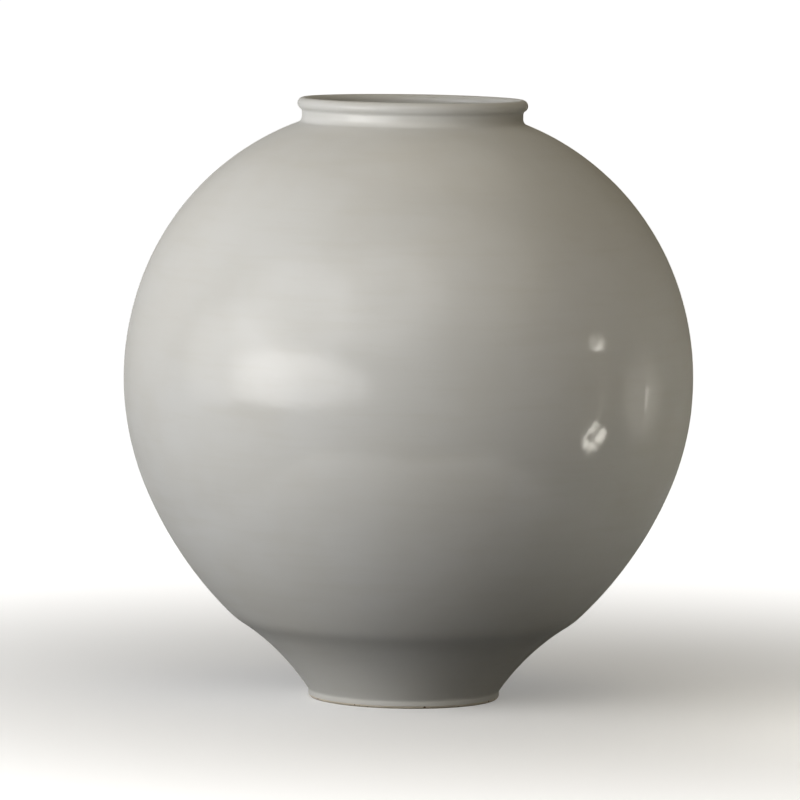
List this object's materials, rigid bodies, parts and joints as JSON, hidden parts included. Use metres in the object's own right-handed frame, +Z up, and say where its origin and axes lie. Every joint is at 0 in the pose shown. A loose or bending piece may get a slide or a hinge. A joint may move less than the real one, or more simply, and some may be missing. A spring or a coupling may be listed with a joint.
{
  "type": "korean moon jar",
  "caption": "Large round white-glazed storage and display jar with a rolled lip on a short neck, a full ball of a belly and a narrow foot.",
  "frame": {"origin": "centre of the foot's standing face, on the surface the jar stands on", "axes": "+Z up along the jar's axis, out of the mouth; the jar is round, so X and Y are free"},
  "size_m": [0.4268, 0.4268, 0.4499],
  "materials": {
    "stoneware_body": "fired unglazed white clay, matt and slightly sandy",
    "joining_slip": "fired joining slip of the same clay, matt",
    "milky_glaze": "glossy milky off-white glaze with a faint warm grey-green cast"
  },
  "bodies": {
    "root": {"lower_bowl": "stoneware_body", "upper_bowl": "stoneware_body", "neck_collar": "stoneware_body", "foot_ring": "stoneware_body", "belly_inside_coil": "stoneware_body", "belly_joint": "joining_slip", "neck_joint": "joining_slip", "foot_joint": "joining_slip", "outer_glaze": "milky_glaze", "inner_glaze": "milky_glaze", "foot_well_glaze": "milky_glaze"}
  },
  "joints": []
}
